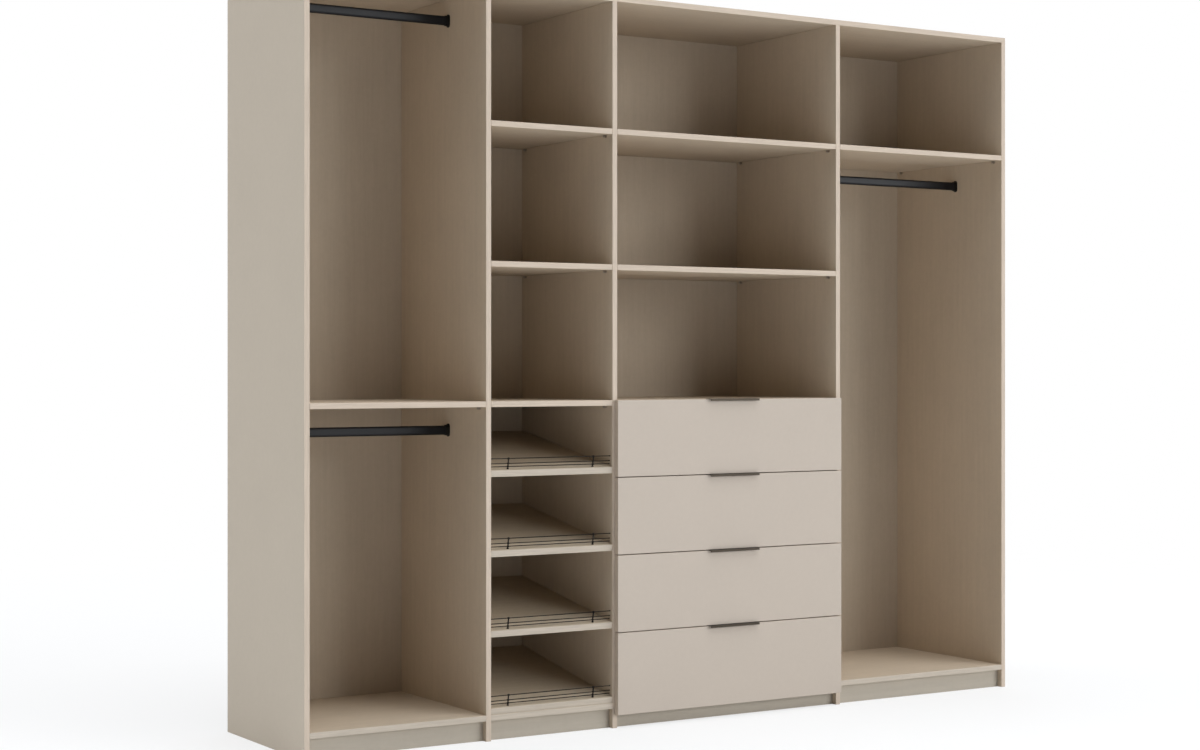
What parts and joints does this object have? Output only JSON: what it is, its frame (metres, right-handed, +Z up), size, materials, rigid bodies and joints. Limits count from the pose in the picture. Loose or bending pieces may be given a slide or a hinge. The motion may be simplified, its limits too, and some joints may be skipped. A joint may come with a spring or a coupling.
{
  "type": "closet system",
  "caption": "Open floor-standing wardrobe wall in bays, with hanging rails, shelves, slanted shoe racks with wire fences and a bank of drawers with slim edge pulls.",
  "frame": {"origin": "on the floor, under the middle of the whole object's box", "axes": "+X to the right seen from the front, +Y to the back, +Z up"},
  "size_m": [2.79, 0.631, 2.38],
  "materials": {
    "melamine_board": "matt greige melamine with a faint fine texture",
    "back_board": "thin board with the same greige face",
    "front_board": "matt greige melamine",
    "drawer_board": "matt greige melamine",
    "fence_wire": "dark satin wire",
    "rail_steel": "black powder coat, low sheen",
    "socket_plastic": "black, finely textured",
    "pin_metal": "dull nickel",
    "zinc_screw": "bright zinc",
    "dowel_wood": "fluted beech",
    "runner_steel": "zinc-plated sheet",
    "pull_aluminium": "dark bronze anodised, satin"
  },
  "bodies": {
    "carcass": {"side_panel_left": "melamine_board", "partition_left": "melamine_board", "partition_middle": "melamine_board", "partition_right": "melamine_board", "side_panel_right": "melamine_board", "top_panel": "melamine_board", "hang_bay_bottom": "melamine_board", "hang_bay_plinth": "melamine_board", "shoe_bay_bottom": "melamine_board", "shoe_bay_plinth": "melamine_board", "drawer_bay_bottom": "melamine_board", "drawer_bay_plinth": "melamine_board", "coat_bay_bottom": "melamine_board", "coat_bay_plinth": "melamine_board", "hang_bay_lower_shelf": "melamine_board", "shoe_bay_upper_shelf": "melamine_board", "shoe_bay_middle_shelf": "melamine_board", "shoe_bay_lower_shelf": "melamine_board", "drawer_bay_upper_shelf": "melamine_board", "drawer_bay_middle_shelf": "melamine_board", "drawer_bay_lower_shelf": "melamine_board", "coat_bay_upper_shelf": "melamine_board", "shoe_rack_1": "melamine_board", "shoe_rack_2": "melamine_board", "shoe_rack_3": "melamine_board", "shoe_rack_4": "melamine_board", "hang_bay_back": "back_board", "shoe_bay_back": "back_board", "drawer_bay_back": "back_board", "coat_bay_back": "back_board", "shoe_fence_1": "fence_wire", "shoe_fence_2": "fence_wire", "shoe_fence_3": "fence_wire", "shoe_fence_4": "fence_wire", "hanging_rail_upper": "rail_steel", "hanging_rail_lower": "rail_steel", "hanging_rail_coat": "rail_steel", "rail_sockets": "socket_plastic", "socket_screws": "zinc_screw", "top_screws": "zinc_screw", "shelf_pins": "pin_metal", "wood_dowels": "dowel_wood", "cabinet_runners": "runner_steel", "runner_screws": "zinc_screw"},
    "drawer_1": {"drawer_front_1": "front_board", "drawer_handle_1": "pull_aluminium", "drawer_box_1": "drawer_board", "drawer_runners_1": "runner_steel"},
    "drawer_2": {"drawer_front_2": "front_board", "drawer_handle_2": "pull_aluminium", "drawer_box_2": "drawer_board", "drawer_runners_2": "runner_steel"},
    "drawer_3": {"drawer_front_3": "front_board", "drawer_handle_3": "pull_aluminium", "drawer_box_3": "drawer_board", "drawer_runners_3": "runner_steel"},
    "drawer_4": {"drawer_front_4": "front_board", "drawer_handle_4": "pull_aluminium", "drawer_box_4": "drawer_board", "drawer_runners_4": "runner_steel"}
  },
  "joints": [
    {"name": "drawer_1_slide", "type": "slide", "parent": "carcass", "child": "drawer_1", "axis": [0, -1, 0], "range_m": [0, 0.375]},
    {"name": "drawer_2_slide", "type": "slide", "parent": "carcass", "child": "drawer_2", "axis": [0, -1, 0], "range_m": [0, 0.375]},
    {"name": "drawer_3_slide", "type": "slide", "parent": "carcass", "child": "drawer_3", "axis": [0, -1, 0], "range_m": [0, 0.375]},
    {"name": "drawer_4_slide", "type": "slide", "parent": "carcass", "child": "drawer_4", "axis": [0, -1, 0], "range_m": [0, 0.375]}
  ]
}
